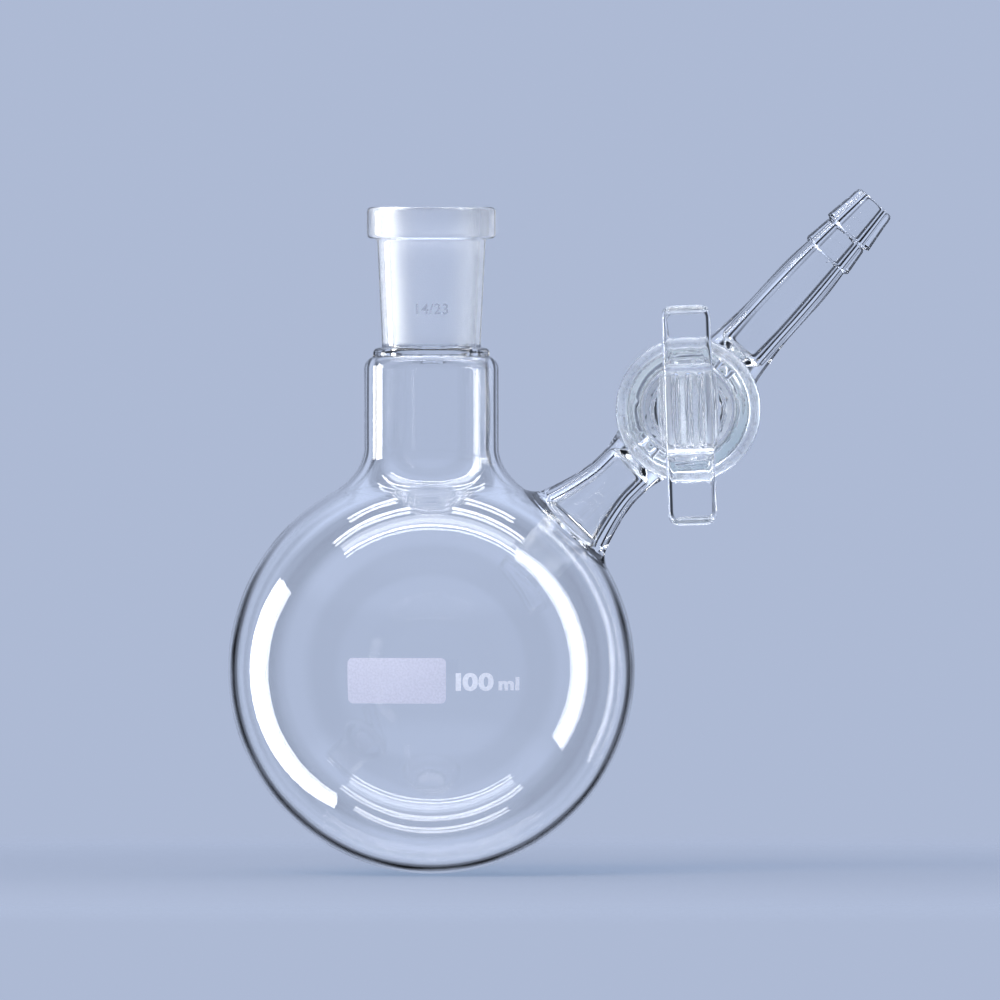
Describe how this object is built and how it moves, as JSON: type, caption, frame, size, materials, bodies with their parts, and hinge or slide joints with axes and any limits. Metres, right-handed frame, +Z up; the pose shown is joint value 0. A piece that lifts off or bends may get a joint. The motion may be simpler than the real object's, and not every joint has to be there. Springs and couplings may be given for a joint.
{
  "type": "round-bottom flask with stopcock side arm",
  "caption": "Round-bottom glass laboratory flask with a ground socket and an angled side arm that carries a glass stopcock and a ribbed hose nozzle.",
  "frame": {"origin": "on the neck's axis, halfway up its straight part, where a laboratory clamp grips the flask", "axes": "+Z up the neck, +X towards the side arm and its nozzle, -Y towards the stopcock handle"},
  "size_m": [0.1042, 0.0685, 0.1076],
  "materials": {
    "bulb_glass": "clear",
    "neck_glass": "clear",
    "ground_socket_glass": "ground inside, frosted",
    "side_arm_glass": "clear",
    "stopcock_barrel_glass": "clear outside, ground bore",
    "nozzle_tube_glass": "clear",
    "hose_nozzle_glass": "clear, fire-polished tip",
    "white_enamel": "fired matte enamel",
    "key_plug_glass": "ground cone",
    "key_neck_glass": "clear",
    "key_handle_glass": "clear, pressed",
    "retainer_washer_plastic": "satin",
    "retainer_ring_rubber": "matte"
  },
  "bodies": {
    "flask": {"bulb": "bulb_glass", "neck": "neck_glass", "ground_socket": "ground_socket_glass", "side_arm": "side_arm_glass", "stopcock_barrel": "stopcock_barrel_glass", "nozzle_tube": "nozzle_tube_glass", "hose_nozzle": "hose_nozzle_glass", "writing_patch": "white_enamel"},
    "key": {"key_plug": "key_plug_glass", "key_neck": "key_neck_glass", "key_handle": "key_handle_glass", "retainer_washer": "retainer_washer_plastic", "retainer_ring": "retainer_ring_rubber"}
  },
  "joints": [
    {"name": "key_turn", "type": "hinge", "parent": "flask", "child": "key", "pos_m": [0.04025, 0, 0], "axis": [0, 1, 0], "continuous": true}
  ]
}
